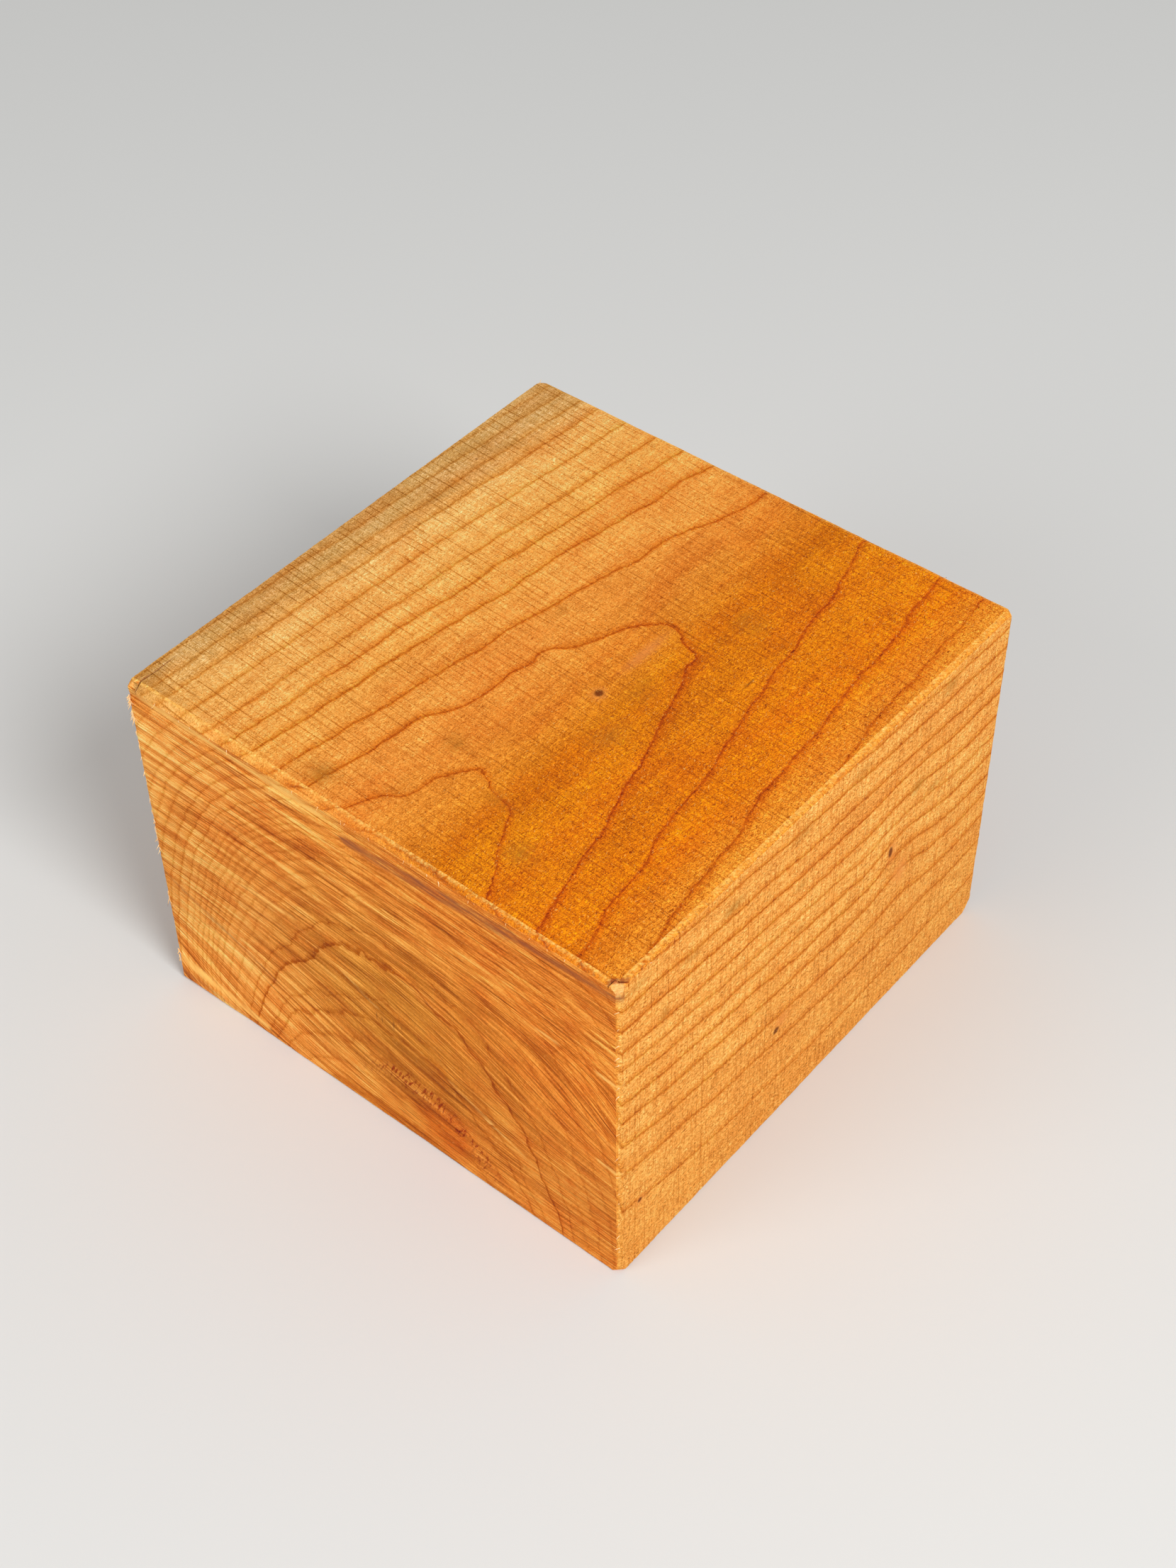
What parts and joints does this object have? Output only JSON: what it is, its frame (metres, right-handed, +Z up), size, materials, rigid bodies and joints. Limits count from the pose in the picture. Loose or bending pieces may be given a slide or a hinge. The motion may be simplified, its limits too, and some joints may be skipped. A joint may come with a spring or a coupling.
{
  "type": "bowl turning blank",
  "caption": "Square-sawn block of cherry for turning a bowl, with bevelled and eased edges, a torn top corner and a short drying check.",
  "frame": {"origin": "middle of the blank's box at its bottom face", "axes": "+Z up through the thickness, +Y along the grain from the front end to the back end, +X across the grain to the right"},
  "size_m": [0.15, 0.153, 0.1076],
  "materials": {
    "cherry_wood": "bare bandsawn solid cherry, unsealed"
  },
  "bodies": {
    "root": {"turning_blank": "cherry_wood"}
  },
  "joints": []
}
